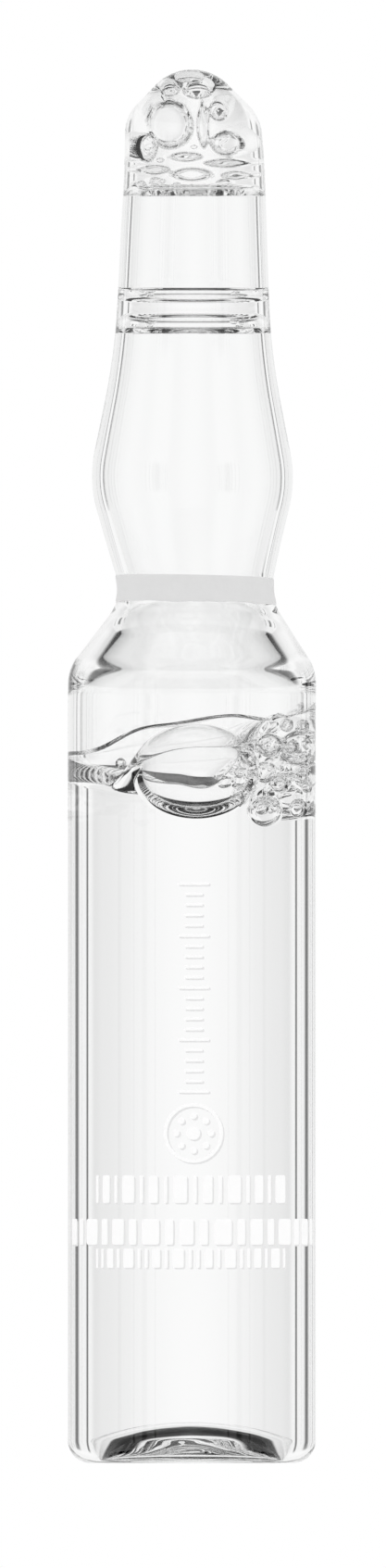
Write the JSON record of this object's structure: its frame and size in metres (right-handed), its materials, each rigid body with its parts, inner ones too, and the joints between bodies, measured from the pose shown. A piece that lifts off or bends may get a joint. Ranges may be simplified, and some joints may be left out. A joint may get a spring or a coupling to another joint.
{
  "type": "glass ampoule",
  "caption": "Sealed clear glass ampoule with a flat foot, shoulder, constriction with a pale break ring, bulbed stem and rounded tip, filled with clear liquid.",
  "frame": {"origin": "middle of the standing ring, on the surface that the ampoule stands on", "axes": "+Z along the ampoule's axis from foot to tip; -Y towards the viewer; +X to the right"},
  "size_m": [0.0108, 0.0108, 0.0604],
  "materials": {
    "glass": "polished clear",
    "break_ring": "pale fired enamel, satin",
    "liquid": "clear liquid"
  },
  "bodies": {
    "root": {"glass": "glass", "break_ring": "break_ring", "solution": "liquid", "neck_plug": "liquid", "tip_liquid": "liquid"}
  },
  "joints": []
}
